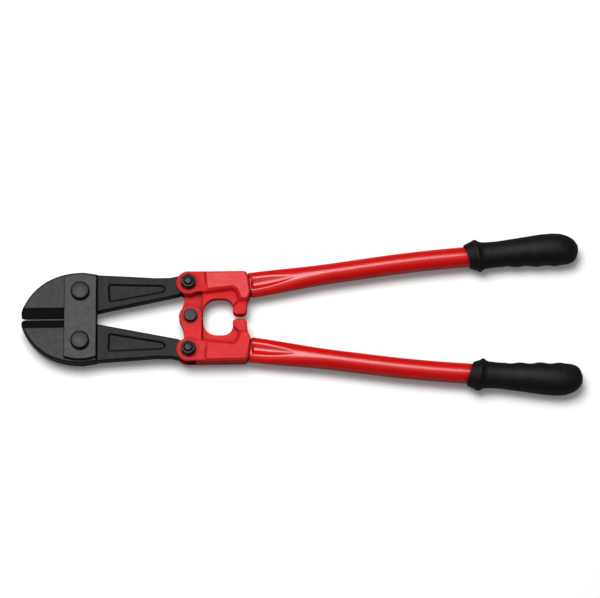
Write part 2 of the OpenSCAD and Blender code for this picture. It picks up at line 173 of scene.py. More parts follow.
def plate(sheet, grid, low, high, edge=1.0, draft=0.0, draft_depth=10):
    """A sheet outline given thickness, with rounded edges.

    Draft widens it from its faces towards z = 0, down to draft_depth below them.
    """
    middle, half = (low + high) / 2, (high - low) / 2
    top = np.abs(grid.z - middle) - half
    side = sheet + draft * np.maximum(top, -draft_depth) + edge
    top = top + edge
    outside = np.hypot(np.maximum(side, 0), np.maximum(top, 0))
    return np.minimum(np.maximum(side, top), 0) + outside - edge


def joined(a, b, blend=0.0):
    """Union, with a fillet about as wide as blend."""
    if blend == 0:
        return np.minimum(a, b)
    h = np.clip(0.5 + 0.5 * (b - a) / blend, 0, 1)
    return b * (1 - h) + a * h - blend * h * (1 - h)


def cut(a, b, blend=0.0):
    """a without b."""
    return -joined(-a, b, blend)


def surface(field, grid):
    """Points and four-sided faces of the field's zero surface (surface nets)."""
    inside = field < 0
    corners = [(i, j, k) for i in (0, 1) for j in (0, 1) for k in (0, 1)]
    shape = [n - 1 for n in field.shape]

    def shifted(values, offset):
        return values[tuple(slice(o, o + n) for o, n in zip(offset, shape))]

    filled = sum(shifted(inside, c).astype(np.int8) for c in corners)
    cells = np.argwhere((filled > 0) & (filled < 8))
    index = np.full(shape, -1, np.int64)
    index[tuple(cells.T)] = np.arange(len(cells))
    total = np.zeros((len(cells), 3))
    hits = np.zeros(len(cells))
    for first in corners:
        for axis in range(3):
            if first[axis]:
                continue
            second = tuple(c + (k == axis) for k, c in enumerate(first))
            a = field[tuple((cells + first).T)]
            b = field[tuple((cells + second).T)]
            crossed = (a < 0) != (b < 0)
            place = np.array(first, float) + np.zeros((len(cells), 3))
            place[:, axis] += np.where(crossed, a / np.where(crossed, a - b, 1), 0)
            total += place * crossed[:, None]
            hits += crossed
    points = grid.low + grid.step * (cells + total / hits[:, None])
    faces = []
    for axis in range(3):
        u, v = (axis + 1) % 3, (axis + 2) % 3
        low_side = [slice(None)] * 3
        high_side = [slice(None)] * 3
        low_side[axis] = slice(0, -1)
        high_side[axis] = slice(1, None)
        start = inside[tuple(low_side)]
        crossing = np.argwhere(start != inside[tuple(high_side)])
        keep = (crossing[:, u] > 0) & (crossing[:, v] > 0)
        keep &= (crossing[:, u] < field.shape[u] - 1) & (crossing[:, v] < field.shape[v] - 1)
        crossing = crossing[keep]
        ring = []
        for du, dv in ((1, 1), (0, 1), (0, 0), (1, 0)):
            cell = crossing.copy()
            cell[:, u] -= du
            cell[:, v] -= dv
            ring.append(index[tuple(cell.T)])
        quads = np.stack(ring, 1)
        outward = start[tuple(crossing.T)]
        faces.append(np.where(outward[:, None], quads, quads[:, ::-1]))
    return points, np.concatenate(faces)


# ------------------------------------------------------------------ meshes

PLAIN = (1, 1, 1)
TURNED = (1, -1, -1)       # turned over about the tool's length
MIRRORED = (1, -1, 1)


def make_piece(name, points, faces, body, nodes, material, way=PLAIN, sharp=None):
    """A smooth mesh from points in the tool's frame, riding on a body in place of CAD nodes."""
    places = np.asarray(points, float) * way * MM + np.array(tool_origin)
    loops = [list(face) for face in faces]
    if way[0] * way[1] * way[2] < 0:
        loops = [face[::-1] for face in loops]
    mesh = bpy.data.meshes.new(name)
    mesh.from_pydata(places.tolist(), [], loops)
    mesh.shade_smooth()
    if sharp:
        mesh.set_sharp_from_angle(angle=math.radians(sharp))
    mesh.materials.append(material)
    piece = bpy.data.objects.new(name, mesh)
    bpy.context.scene.collection.objects.link(piece)
    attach(piece, body)
    if nodes:
        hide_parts(*nodes)
    return piece


def skin(rings, closed_loop=False):
    """Points and faces through rings of points that run anticlockwise about the path.

    The ends are closed by a fan, or with closed_loop the last ring meets the first.
    """
    rings = np.asarray(rings, float)
    count, sides = rings.shape[:2]
    points = rings.reshape(-1, 3)
    faces = []
    for k in range(count if closed_loop else count - 1):
        here, there = k * sides, (k + 1) % count * sides
        for i in range(sides):
            j = (i + 1) % sides
            faces.append((here + i, here + j, there + j, there + i))
    if not closed_loop:
        points = np.vstack([points, rings[0].mean(0), rings[-1].mean(0)])
        start, end = len(points) - 2, len(points) - 1
        last = (count - 1) * sides
        for i in range(sides):
            j = (i + 1) % sides
            faces.append((start, j, i))
            faces.append((end, last + i, last + j))
    return points, faces


# ------------------------------------------------------------------ materials


class Nodes:
    """A material's node tree, with short calls for the nodes used here."""

    def __init__(self, name):
        self.material = bpy.data.materials.new(name)
        self.material.use_nodes = True
        self.tree = self.material.node_tree
        self.shader = self.tree.nodes["Principled BSDF"]
        self.place = self.tree.nodes.new("ShaderNodeTexCoord").outputs["Object"]

    def link(self, source, target):
        self.tree.links.new(source, target)
        return target

    def noise(self, size, detail=3.0, roughness=0.5, stretch=(1, 1, 1)):
        """Noise whose features are about size millimetres across."""
        mapping = self.tree.nodes.new("ShaderNodeMapping")
        mapping.inputs["Scale"].default_value = [s / (size * MM) for s in stretch]
        self.link(self.place, mapping.inputs["Vector"])
        noise = self.tree.nodes.new("ShaderNodeTexNoise")
        noise.inputs["Scale"].default_value = 1
        noise.inputs["Detail"].default_value = detail
        noise.inputs["Roughness"].default_value = roughness
        self.link(mapping.outputs["Vector"], noise.inputs["Vector"])
        return noise.outputs["Fac"]

    def ramp(self, source, low, high, start=0.3, end=0.7):
        """Turns a value between start and end into one between low and high."""
        node = self.tree.nodes.new("ShaderNodeMapRange")
        node.inputs["From Min"].default_value = start
        node.inputs["From Max"].default_value = end
        node.inputs["To Min"].default_value = low
        node.inputs["To Max"].default_value = high
        self.link(source, node.inputs["Value"])
        return node.outputs["Result"]

    def mix(self, factor, first, second):
        """A colour between two, by a value."""
        node = self.tree.nodes.new("ShaderNodeMix")
        node.data_type = "RGBA"
        self.link(factor, node.inputs["Factor"])
        for socket, colour in ((node.inputs[6], first), (node.inputs[7], second)):
            if hasattr(colour, "links"):
                self.link(colour, socket)
            else:
                socket.default_value = (*colour, 1)
        return node.outputs[2]

    def shade_creases(self, colour, reach, darkest):
        """Paints shade into a colour in creases: darkens it towards darkest where ambient occlusion
        finds nearby surfaces.
        """
        node = self.tree.nodes.new("ShaderNodeAmbientOcclusion")
        node.inputs["Distance"].default_value = reach * MM
        node.samples = 8
        return self.mix(self.ramp(node.outputs["AO"], 0, 1, 0.42, 1.0), darkest, colour)

    def by_height(self, below, above, low, high):
        """One value under a height above the middle plane and another over it, in millimetres."""
        height = self.tree.nodes.new("ShaderNodeSeparateXYZ")
        self.link(self.place, height.inputs[0])
        base = tool_origin.z
        return self.ramp(height.outputs["Z"], below, above, base + low * MM, base + high * MM)

    def total(self, first, second):
        node = self.tree.nodes.new("ShaderNodeMath")
        self.link(first, node.inputs[0])
        self.link(second, node.inputs[1])
        return node.outputs[0]

    def bump(self, *layers):
        """Bumps of (height source, height in millimetres), laid over each other."""
        last = None
        for source, height in layers:
            node = self.tree.nodes.new("ShaderNodeBump")
            node.inputs["Distance"].default_value = height * MM
            self.link(source, node.inputs["Height"])
            if last is not None:
                self.link(last, node.inputs["Normal"])
            last = node.outputs["Normal"]
        self.link(last, self.shader.inputs["Normal"])

    def set(self, **values):
        for key, value in values.items():
            socket = self.shader.inputs[key.replace("_", " ")]
            socket.default_value = (*value, 1) if isinstance(value, tuple) else value


def painted_red(name, dark, light, roughness, pad_roughness, gloss, grain):
    """Red enamel over steel: a slightly uneven coat with a soft orange peel, and painted shade in its
    creases.

    The heads' raised pads, above the bars' faces, have a roughness of their own.
    """
    m = Nodes(name)
    tone = m.mix(m.ramp(m.noise(14, 4), 0, 1), dark, light)
    # painted shade: in creases the enamel is darkened, by ambient occlusion, down to 0.3 of its dark
    # tone
    crease = tuple(0.3 * c for c in dark)
    m.link(m.shade_creases(tone, 8, crease), m.shader.inputs["Base Color"])
    uneven = m.ramp(m.noise(5, 4), -0.04 * grain, 0.05 * grain)
    m.link(
        m.total(m.by_height(roughness, pad_roughness, 9.7, 10.2), uneven),
        m.shader.inputs["Roughness"])
    m.bump((m.noise(1.6, 2), 0.012 * grain), (m.noise(7, 3), 0.05 * grain))
    m.set(Specular_IOR_Level=gloss)
    return m.material


def black_steel(name, dark, light, roughness, low_roughness, gloss, grain):
    """Blackened steel: fine blotches in the oxide and a slightly rough skin.

    The jaws' tails, lower than the blades, have a roughness of their own.
    """
    m = Nodes(name)
    tone = m.mix(m.ramp(m.noise(9, 5, 0.6), 0, 1), dark, light)
    speck = m.ramp(m.noise(0.8, 2), 0.0, 0.35, 0.45, 0.75)
    m.link(m.mix(speck, tone, light), m.shader.inputs["Base Color"])
    m.link(
        m.total(m.by_height(low_roughness, roughness, 6.0, 7.0), m.ramp(m.noise(6, 4), -0.03, 0.04)),
        m.shader.inputs["Roughness"])
    m.bump((m.noise(0.9, 3), 0.014 * grain), (m.noise(6, 3), 0.03 * grain))
    m.set(Specular_IOR_Level=gloss)
    return m.material


def moulded_rubber(name):
    """Black rubber with a fine moulded grain."""
    m = Nodes(name)
    m.link(
        m.mix(m.ramp(m.noise(11, 4), 0, 1), (0.004, 0.004, 0.004), (0.007, 0.007, 0.007)),
        m.shader.inputs["Base Color"])
    m.link(m.ramp(m.noise(3, 4), 0.50, 0.60), m.shader.inputs["Roughness"])
    m.bump((m.noise(0.55, 2), 0.025), (m.noise(6, 3), 0.05))
    m.set(Specular_IOR_Level=0.19)
    return m.material


FORGING_REDS = (0.68, 0.006, 0.009), (0.76, 0.010, 0.014)
TUBE_REDS = (0.64, 0.002, 0.002), (0.71, 0.003, 0.003)


def greys(dark, light):
    return (dark, dark, dark), (light, light, light)


RED_FORGINGS = {
    "upper": painted_red("red_forging_upper", *FORGING_REDS, 0.70, 0.45, 0.32, 1.2),
    "lower": painted_red("red_forging_lower", *FORGING_REDS, 0.64, 0.60, 0.32, 1.2)}
RED_TUBE = painted_red("red_tube", *TUBE_REDS, 0.26, 0.26, 0.52, 0.2)
JAW_STEEL = black_steel("jaw_steel", *greys(0.002, 0.005), 0.37, 0.49, 0.17, 1.0)
CLIP_STEEL = black_steel("clip_steel", *greys(0.004, 0.007), 0.43, 0.43, 0.29, 0.6)
BOLT_STEEL = black_steel("bolt_steel", *greys(0.003, 0.006), 0.42, 0.42, 0.28, 0.5)
GRIP_RUBBER = moulded_rubber("grip_rubber")

# ------------------------------------------------------------------ jaws

BEVEL_W = 11
EDGE_FLAT = 0.4            # half of the cutting edge's flat
POCKET_DEPTH = 1.9
SLOT_IN = 6.4              # travel of the slot at the pivot that is left open, inwards
SLOT_OUT = 0.45            # and outwards
SLOT_SIDE = 0.25           # and half of it to the side
EDGE_GAP = 0.55            # half of the gap between the blades
TAIL_HALF = 5.5
EYE_R = 11.3
STEP_X = CLIP_HIGH.x + 1   # where the blade's thickness steps down to the tail's
THROAT_X = NOSE_X + 49.3

jaw_outline = (
    curve((NOSE_X + 4, EDGE_GAP), (NOSE_X + 2, EDGE_GAP), (NOSE_X, EDGE_GAP + 1),
          (NOSE_X, EDGE_GAP + 3), 6)
    + curve((NOSE_X, 7.5), (NOSE_X + 5.4, 21.5), (NOSE_X + 21, CROWN_Y), (NOSE_X + 67.4, CROWN_Y))
    + [(-100, 49.3), (-66, 47.2), (-38, 45.3), (-22, 45.4)]
    + arc(JAW_BOLT, EYE_R, 112, -120, 16)
    + [(-13, 25.4), (THROAT_X + 1.5, 0.5), (THROAT_X - 4, 0.5), (THROAT_X - 4, EDGE_GAP)]
)
pocket_outline = rounded([
    (-90, 38.8, 3), (-89, 17.8, 2.5), (-31, 28.2, 4), (-25.5, 33, 3), (-31, 36.8, 4)])


def jaw_field(grid, slotted):
    """The upper jaw: blade, ground bevels, thinner tail with its pockets, and the bores."""
    sheet = outline(jaw_outline, grid)
    blade = plate(sheet, grid, -JAW_HALF, JAW_HALF, 1.6)
    tail = plate(sheet, grid, -TAIL_HALF, TAIL_HALF, 1.4, 0.06)
    step = (grid.x - STEP_X) * 0.8 + (np.abs(grid.z) - TAIL_HALF) * 0.6
    body = np.where(grid.x < STEP_X - 6, blade, np.minimum(np.maximum(blade, step), tail))
    slope = math.atan2(JAW_HALF - EDGE_FLAT, BEVEL_W)
    bevel = (np.abs(grid.z) - EDGE_FLAT) * math.cos(slope) - (grid.y - EDGE_GAP) * math.sin(slope)
    body = np.maximum(body, np.where(grid.x < THROAT_X, bevel, -99))
    pocket = outline(pocket_outline, grid)
    floor = TAIL_HALF - POCKET_DEPTH
    hollow = np.maximum(pocket * 0.8 + (TAIL_HALF - np.abs(grid.z)) * 0.6, floor - np.abs(grid.z))
    body = cut(body, hollow, 0.8)
    body = cut(body, disc(JAW_BOLT, BOLT_R + 0.25, grid))
    hole = disc(CLIP_BOLT, CLIP_BOLT_R + 0.25, grid)
    if slotted:
        for move in (Vector((SLOT_SIDE, -SLOT_IN, 0)), Vector((0, SLOT_OUT, 0))):
            hole = np.minimum(hole, disc(CLIP_BOLT + move, CLIP_BOLT_R + 0.35, grid))
    return cut(body, hole)


def make_jaws():
    grid = Grid((NOSE_X, -0.5, -JAW_HALF), (JAW_BOLT.x + EYE_R, CROWN_Y, JAW_HALF), 0.5)
    for side, way in (("upper", PLAIN), ("lower", MIRRORED)):
        points, faces = surface(jaw_field(grid, side == "upper"), grid)
        make_piece(side + "_jaw_forged", points, faces, side + "_jaw", [side + "_jaw"],
                   JAW_STEEL, way)


# ------------------------------------------------------------------ clip plates


def make_clips():
    half_w = (CLIP_HIGH.x - CLIP_LOW.x) / 2
    grid = Grid(CLIP_LOW, CLIP_HIGH, 0.5)
    sheet = np.maximum(disc((CLIP_BOLT.x, 0), CLIP_HIGH.y, grid), np.abs(grid.x - CLIP_BOLT.x) - half_w)
    body = plate(sheet, grid, CLIP_LOW.z, CLIP_HIGH.z, 0.8)
    for side in (1, -1):
        body = cut(body, disc((CLIP_BOLT.x, side * CLIP_BOLT.y), CLIP_BOLT_R + 0.1, grid))
    points, faces = surface(body, grid)
    for side, way in (("front", PLAIN), ("rear", TURNED)):
        make_piece(side + "_clip_plate", points, faces, "clips", [side + "_clip"],
                   CLIP_STEEL, way)


# ------------------------------------------------------------------ handle heads

EAR_HALF = 9.5
WEB_HALF = 4
LUG_HALF = 8
BUMPER_HALF = 5.2
LUG_R = 12.6
EAR_R = 13.2
HEAD_SLOPE = math.radians(8.1)
TUBE_START = Vector((64.3, 37))
COLUMN_X = (-7, 12.4)
OPENING_X = 29.8
OPENING = (16.2, 21)
BUMPER_GAP = 2.1           # half of the gap between the bumpers


def from_tube(s, t):
    """A point s along the tube's first run and t across it."""
    return (TUBE_START.x + s * math.cos(HEAD_SLOPE) - t * math.sin(HEAD_SLOPE),
            TUBE_START.y + s * math.sin(HEAD_SLOPE) + t * math.cos(HEAD_SLOPE))


shoulder_top = from_tube(0, (HEAD_TOP - TUBE_START.y) / math.cos(HEAD_SLOPE))
shoulder_low = from_tube(0, -10.5)
HOOK_Y = 18.9              # the hook's end
HOOK_X = (54.6, 62.6)      # its sides there
PAD_X = 17.6               # the pad's step
PAD_INSET = 1.1
BAR_EDGE = 1.4             # rounding of the bars' edges
GROOVE_OUT = 0.8           # the line of the groove round the pad, beyond the pad's outline
GROOVE_HALF = 0.7
GROOVE_DEPTH = 0.9
CREASE_DEPTH = 1.3         # of the crease between the bumper and the web
FORK_R = EYE_R + 0.9       # room for the jaw's eye in the fork
FORK_HALF = TAIL_HALF + 0.25
bar_outline = rounded([
    (JAW_BOLT.x, HEAD_TOP, 0), (*shoulder_top, 5.5), (*shoulder_low, 2), (HOOK_X[1], HOOK_Y, 2),
    (HOOK_X[0], HOOK_Y, 1.2), (49.6, 33, 7), (JAW_BOLT.x, 26.4, 0)])
pad_outline = rounded([
    (PAD_X - 0.7, HEAD_TOP - PAD_INSET, 1),
    (shoulder_top[0] - PAD_INSET, HEAD_TOP - PAD_INSET, 5),
    (shoulder_low[0] - 0.8, shoulder_low[1] + 0.3, 2), (HOOK_X[1] - 0.5, HOOK_Y + 0.7, 2),
    (HOOK_X[0] + 0.7, HOOK_Y + 0.7, 1), (50.4, 33.8, 7.5), (PAD_X + 0.7, 30.1, 1)])
web_outline = [
    (LUG_R + 0.4, 36), (LUG_R + 0.4, 1.4), (OPENING_X, 1.4), (47, 8), (53, 15), (60, 24),
    (60, 36)]
bumper_outline = rounded([
    (52.5, 24, 0), (52.2, 16.8, 1), (45.8, 10.4, 2.5), (45.8, BUMPER_GAP, 5.5),
    (61.2, BUMPER_GAP, 5.5), (HOOK_X[1] - 0.9, 12, 0), (HOOK_X[1] - 0.9, 24, 0)])
column_outline = (
    [(COLUMN_X[1], 0), (COLUMN_X[1], 30), (COLUMN_X[0], 30), (COLUMN_X[0], 22)]
    + curve((COLUMN_X[0], 22), (-7, 17), (-9.6, 12), (-11.4, 5.4), 6))
opening_outline = rounded([
    (OPENING_X - OPENING[0], -OPENING[1], 15), (OPENING_X - OPENING[0], OPENING[1], 15),
    (OPENING_X + OPENING[0], OPENING[1], 10.5), (OPENING_X + OPENING[0], -OPENING[1], 10.5)])


def head_field(grid):
    """The upper handle's forging."""
    ear = disc(JAW_BOLT, EAR_R, grid)
    bar_sheet = joined(ear, outline(bar_outline, grid))
    pad_sheet = outline(pad_outline, grid)
    opening = outline(opening_outline, grid)
    web_sheet = outline(web_outline, grid)
    bumper_sheet = outline(bumper_outline, grid)

    bar = plate(bar_sheet, grid, -EAR_HALF, EAR_HALF, BAR_EDGE)
    groove = np.maximum(
        np.abs(pad_sheet - GROOVE_OUT) - GROOVE_HALF, EAR_HALF - GROOVE_DEPTH - np.abs(grid.z))
    bar = cut(bar, groove, 0.8)
    bar = joined(bar, plate(pad_sheet, grid, -PAD_HALF, PAD_HALF, 1.1))
    web = plate(cut(web_sheet, opening), grid, -WEB_HALF, WEB_HALF, 1.1)
    # behind the middle plane the web runs on to the handle's own lug
    neck = np.maximum(np.abs(grid.x - LUG_R) - 1.6, np.maximum(1.4 - grid.y, grid.y - 30))
    neck = plate(neck, grid, 1.6 - WEB_HALF, -0.3, 0.3)
    bumper = plate(bumper_sheet, grid, -BUMPER_HALF, BUMPER_HALF, 1.9)
    crease = np.maximum(bumper_sheet - 1.1, WEB_HALF - CREASE_DEPTH - np.abs(grid.z))
    low = joined(joined(cut(web, crease, 0.9), neck), bumper, 0.5)
    # the bar's flanks slope down onto the web and the bumper
    flank = plate(bar_sheet, grid, -EAR_HALF, EAR_HALF, BAR_EDGE, 0.5)
    flank = np.maximum(flank, np.minimum(web_sheet, bumper_sheet))
    body = joined(joined(bar, flank), low, 1.6)
    body = np.maximum(body, -opening)

    # the fork: room for the jaw's tail as the jaw swings
    gap = np.abs(grid.z) - FORK_HALF
    swing = np.minimum(disc(JAW_BOLT, FORK_R, grid), np.maximum(
        grid.x - JAW_BOLT.x + 5.4, 20 - grid.y))
    swing = np.minimum(swing, np.maximum(grid.x - JAW_BOLT.x - 8, JAW_BOLT.y - grid.y))
    body = cut(body, np.maximum(swing, gap), 0.6)
    lug = joined(disc((0, 0), LUG_R, grid), outline(column_outline, grid))
    lug = plate(lug, grid, -LUG_HALF, -0.15, 1.2)
    eye = np.maximum(disc(JAW_BOLT, FORK_R, grid), gap)
    body = joined(body, cut(lug, eye), 0.8)
    body = cut(body, disc(JAW_BOLT, BOLT_R + 0.2, grid))
    return cut(body, disc((0, 0), BOLT_R + 0.2, grid))


def make_heads():
    low = (JAW_BOLT.x - EAR_R, -LUG_R, -PAD_HALF)
    high = (shoulder_low[0] + 1, HEAD_TOP + 0.5, PAD_HALF)
    grid = Grid(low, high, 0.4)
    points, faces = surface(head_field(grid), grid)
    for side, way in (("upper", PLAIN), ("lower", TURNED)):
        make_piece(side + "_head_forging", points, faces, side + "_handle",
                   [side + "_handle_head"], RED_FORGINGS[side], way)


# ------------------------------------------------------------------ handle tubes

FLAT_W = 14.2              # half width of the flattened end
FLAT_T = 6.8               # half thickness of the flattened end
TUBE_R = 11.1
ROUND_FROM = 92            # from here on, along the tube, it is round
BEND_FROM = 136
BEND_R = 1500
BEND_TURN = math.radians(3.7)
BEND_LEN = BEND_R * BEND_TURN
TUBE_LEN = 351
TUBE_WALL = 2
TUBE_SIDES = 144
GRIP_COVER = 110.1         # how far the grip reaches over it
CRIMP_FROM = 3
CRIMP_LEN = 50
CRIMP_HALF = 7.7
CRIMP_DEPTH = 2.7
CRIMP_LEAN = 0.22          # its blunt end leans by this much


def turned(point, angle):
    return (point[0] * math.cos(angle) - point[1] * math.sin(angle),
            point[0] * math.sin(angle) + point[1] * math.cos(angle))


def tube_path(s):
    """The point s along the tube's axis and its heading, in the tool's frame."""
    turn = BEND_TURN * min(max((s - BEND_FROM) / BEND_LEN, 0), 1)
    chord = 2 * BEND_R * math.sin(turn / 2)
    bend = turned((chord, 0), -turn / 2)
    after = turned((max(s - BEND_FROM - BEND_LEN, 0), 0), -turn)
    x = min(s, BEND_FROM) + bend[0] + after[0]
    y = bend[1] + after[1]
    return from_tube(x, y), HEAD_SLOPE - turn


def ease(t):
    t = np.clip(t, 0, 1)
    return t * t * (3 - 2 * t)


def mix(a, b, t):
    return a + (b - a) * t


def oval(s, shrink, sides=TUBE_SIDES):
    """A ring of the tube across (y) and through (z): flattened at the head, then round."""
    t = ease(s / ROUND_FROM)
    wide, high = mix(FLAT_W, TUBE_R, t) - shrink, mix(FLAT_T, TUBE_R, t) - shrink
    power = mix(0.88, 1, t)
    angles = (np.arange(sides) + 0.5) * 2 * math.pi / sides
    c, n = np.cos(angles), np.sin(angles)
    return (wide * np.sign(c) * np.abs(c) ** power, high * np.sign(n) * np.abs(n) ** power)


def crimped(s, across, through):
    """Presses a ring in where the tube is crimped onto the tang: a soft trough on both faces.

    Its deepest line lies off the middle, further on the front face than on the back one.
    """
    t = np.clip((s - CRIMP_FROM) / CRIMP_LEN, 0, 1)
    taper = 1 - t ** 2.4
    if taper < 0.02:
        return through
    face = np.sign(through)
    half, middle = CRIMP_HALF * taper, (-0.7 - face) * taper
    u = (across - middle) / (half - np.sign(across - middle) * middle)
    depth = CRIMP_DEPTH * taper ** 1.5 * ease((s - CRIMP_FROM / 2 - CRIMP_LEAN * across) / 2.8)
    return through - face * depth * np.maximum(1 - u * u, 0) ** 2


def tube_ring(s, shrink):
    """A ring of the tube's surface, or of its bore when shrunk by the wall."""
    across, through = oval(s, shrink)
    through = crimped(s, across, through)
    (x, y), heading = tube_path(s)
    return np.stack([
        x - across * math.sin(heading), y + across * math.cos(heading), through], 1)


def make_tubes():
    edge = 1.5             # rounding of the tube's mouth
    lip = [(edge * (1 - math.sin(a)), edge * (1 - math.cos(a)))
           for a in np.radians((90, 65, 40, 20, 0))]
    stations = list(np.arange(1.9, 60, 0.6)) + list(np.arange(60, ROUND_FROM, 2.5))
    stations += [ROUND_FROM, BEND_FROM]
    stations += [BEND_FROM + BEND_LEN * k / 12 for k in range(1, 13)] + [TUBE_LEN]
    outer = [tube_ring(s, shrink) for s, shrink in lip]
    outer += [tube_ring(s, 0) for s in stations]
    inner = [tube_ring(s, TUBE_WALL) for s in reversed([0] + stations)]
    points, faces = skin(outer + inner, closed_loop=True)
    for side, way in (("upper", PLAIN), ("lower", TURNED)):
        make_piece(side + "_tube_steel", points, faces, side + "_handle",
                   [side + "_handle_tube"], RED_TUBE, way)


def make_tangs():
    """The heads' tangs, inside the tubes."""
    under = TUBE_WALL + 0.15
    rings = []
    for s in np.linspace(-0.5, 46, 60):
        across, through = oval(0, under)
        limit = mix(FLAT_W - TUBE_WALL, 9, max(s, 0) / 46) - 0.15
        across = np.clip(across, -limit, limit)
        through = crimped(s, across, through)
        x, y = from_tube(s, 0)
        rings.append(np.stack([
            x - across * math.sin(HEAD_SLOPE), y + across * math.cos(HEAD_SLOPE), through], 1))
    points, faces = skin(rings)
    for side, way in (("upper", PLAIN), ("lower", TURNED)):
        make_piece(side + "_head_tang", points, faces, side + "_handle",
                   [side + "_handle_head"], RED_FORGINGS[side], way)


# ------------------------------------------------------------------ grips

# Half width towards the palm and the fingers, and half thickness, along the grip
GRIP_STATIONS = np.array([
    (0, 13.0, 13.0, 13.2), (7, 16.0, 15.4, 15.8), (10.5, 18.0, 17.6, 17.3),
    (12, 18.0, 17.6, 17.3), (15.5, 15.4, 15.4, 15.0), (19, 14.4, 14.5, 14.2),
    (32, 14.1, 13.9, 14.0), (55, 15.7, 14.8, 15.6), (80, 17.7, 16.5, 17.4),
    (94, 17.92, 17.2, 17.5), (104, 16.7, 17.4, 16.6), (110, 14.4, 17.2, 14.9),
    (115, 11.6, 15.8, 12.4), (118.5, 8.6, 12.8, 9.6), (120.8, 5.0, 8.6, 6.2),
    (122, 1.6, 3.4, 2.4)])
GRIP_LEN = 122
WAVE_PITCH = 21.6
WAVE_H = 0.7
WAVE_FROM = 37.1
MOUTH_LEAN = 0.22
GRIP_SIDES = 96


def smoothed(s, column):
    """The grip's width at s, with the stations' corners rounded."""
    spread = 0.5 if s < 20 else (3.0 if s < 100 else 1.5)
    around = np.clip(s + spread * np.array([-1, -0.5, 0, 0.5, 1]), 0, GRIP_LEN)
    return float(np.mean(np.interp(around, GRIP_STATIONS[:, 0], GRIP_STATIONS[:, column])))


def grip_ring(s, radius=None):
    angles = (np.arange(GRIP_SIDES) + 0.5) * 2 * math.pi / GRIP_SIDES
    c, n = np.cos(angles), np.sin(angles)
    if radius is None:
        power = 0.92
        wave = 0
        if WAVE_FROM < s < WAVE_FROM + 3 * WAVE_PITCH:
            wave = -WAVE_H * math.sin(2 * math.pi * (s - WAVE_FROM) / WAVE_PITCH)
        wide = np.where(c > 0, smoothed(s, 1), smoothed(s, 2) + wave)
        across = wide * np.sign(c) * np.abs(c) ** power
        through = smoothed(s, 3) * np.sign(n) * np.abs(n) ** power
    else:
        across, through = radius * c, radius * n
    return s - MOUTH_LEAN * max(0, 1 - s / 24) * across, across, through


def place_grip(ring):
    along, across, through = ring
    (x, y), heading = tube_path(TUBE_LEN - GRIP_COVER)
    return np.stack([
        x + along * math.cos(heading) - across * math.sin(heading),
        y + along * math.sin(heading) + across * math.cos(heading), through], 1)


def make_grips():
    stations = list(np.arange(0, 22, 0.5)) + list(np.arange(22, 106, 1.5))
    stations += list(np.arange(106, GRIP_LEN - 1, 0.7)) + [GRIP_LEN - 0.4, GRIP_LEN - 0.1]
    rings = [grip_ring(s, TUBE_R + 0.05) for s in (GRIP_COVER, 60, 20, 1)]
    rings += [grip_ring(0, TUBE_R + 0.7)]
    rings += [grip_ring(s) for s in stations]
    points, faces = skin([place_grip(ring) for ring in rings])
    for side, way in (("upper", PLAIN), ("lower", TURNED)):
        make_piece(side + "_grip_rubber", points, faces, side + "_handle", [side + "_grip"],
                   GRIP_RUBBER, way)


# ------------------------------------------------------------------ fasteners


def hexagonal(across_flats, low, high, bore=0.0, sides=96):
    """A hexagon between two heights with chamfered corners, with or without a bore."""
    angles = np.arange(sides) * 2 * math.pi / sides
    flat = across_flats / 2 / np.cos((angles + math.pi / 6) % (math.pi / 3) - math.pi / 6)

    def ring(radius, z):
        radius = np.broadcast_to(radius, flat.shape)
        return np.stack([radius * np.cos(angles), radius * np.sin(angles),
                         np.full(sides, z)], 1)

    rings = []
    chamfer = across_flats * 0.475
    steps = (0, 0.15, 0.3, 0.5, 0.75, 1.05, 1.4)
    outer = [(np.minimum(flat, chamfer + 1.75 * d), d) for d in steps]
    rings += [ring(r, low + d) for r, d in outer]
    rings += [ring(r, high - d) for r, d in reversed(outer)]
    if bore:
        rings += [ring(bore + 0.7, high), ring(bore, high - 0.6)]
        rings += [ring(bore, low + 0.6), ring(bore + 0.7, low)]
    return skin(rings, closed_loop=bool(bore))


def turned_rod(centre, rows):
    """A rod about z through centre; rows are (z, radius or radii round the rod), upwards."""
    angles = np.arange(ROD_SIDES) * 2 * math.pi / ROD_SIDES
    return skin([
        np.stack([centre[0] + radius * np.cos(angles), centre[1] + radius * np.sin(angles),
                  np.full(ROD_SIDES, z)], 1)
        for z, radius in rows
    ])


def thread_rows(radius, low, high, pitch=1.5, depth=0.45):
    """Rows of a right-hand thread up to a rounded tip."""
    turn = np.arange(ROD_SIDES) / ROD_SIDES
    rows = []
    for z in np.arange(low, high + 0.01, 0.17):
        phase = (z / pitch - turn) % 1
        groove = np.clip(1.7 * (1 - np.abs(2 * phase - 1)) - 0.35, 0, 1)
        fade = min(1, (z - low) / pitch)
        tip = radius - 1.5 + 1.5 * math.sqrt(max(0, 1 - (1 - min(1, (high - z) / 1.5)) ** 2))
        rows.append((z, np.minimum(radius - depth * fade * groove, tip)))
    return rows


def together(*parts):
    """Several closed meshes as one."""
    points, faces, count = [], [], 0
    for some_points, some_faces in parts:
        points.append(np.asarray(some_points))
        faces += [tuple(int(i) + count for i in face) for face in some_faces]
        count += len(some_points)
    return np.vstack(points), faces


def at(centre, part):
    points, faces = part
    return points + np.array([centre[0], centre[1], 0]), faces


def washer(low, height, split_at):
    """A spring washer: a flat ring, split at one side."""
    inner, outer, edge = 4.95, 8.2, 0.2
    section = [(inner, edge), (inner + edge, 0), (outer - edge, 0), (outer, edge),
               (outer, height - edge), (outer - edge, height), (inner + edge, height),
               (inner, height - edge)]
    rings = []
    for angle in np.radians(np.linspace(split_at + 4, split_at + 356, 73)):
        rings.append([(r * math.cos(angle), r * math.sin(angle), low + z)
                      for r, z in reversed(section)])
    return skin(rings)


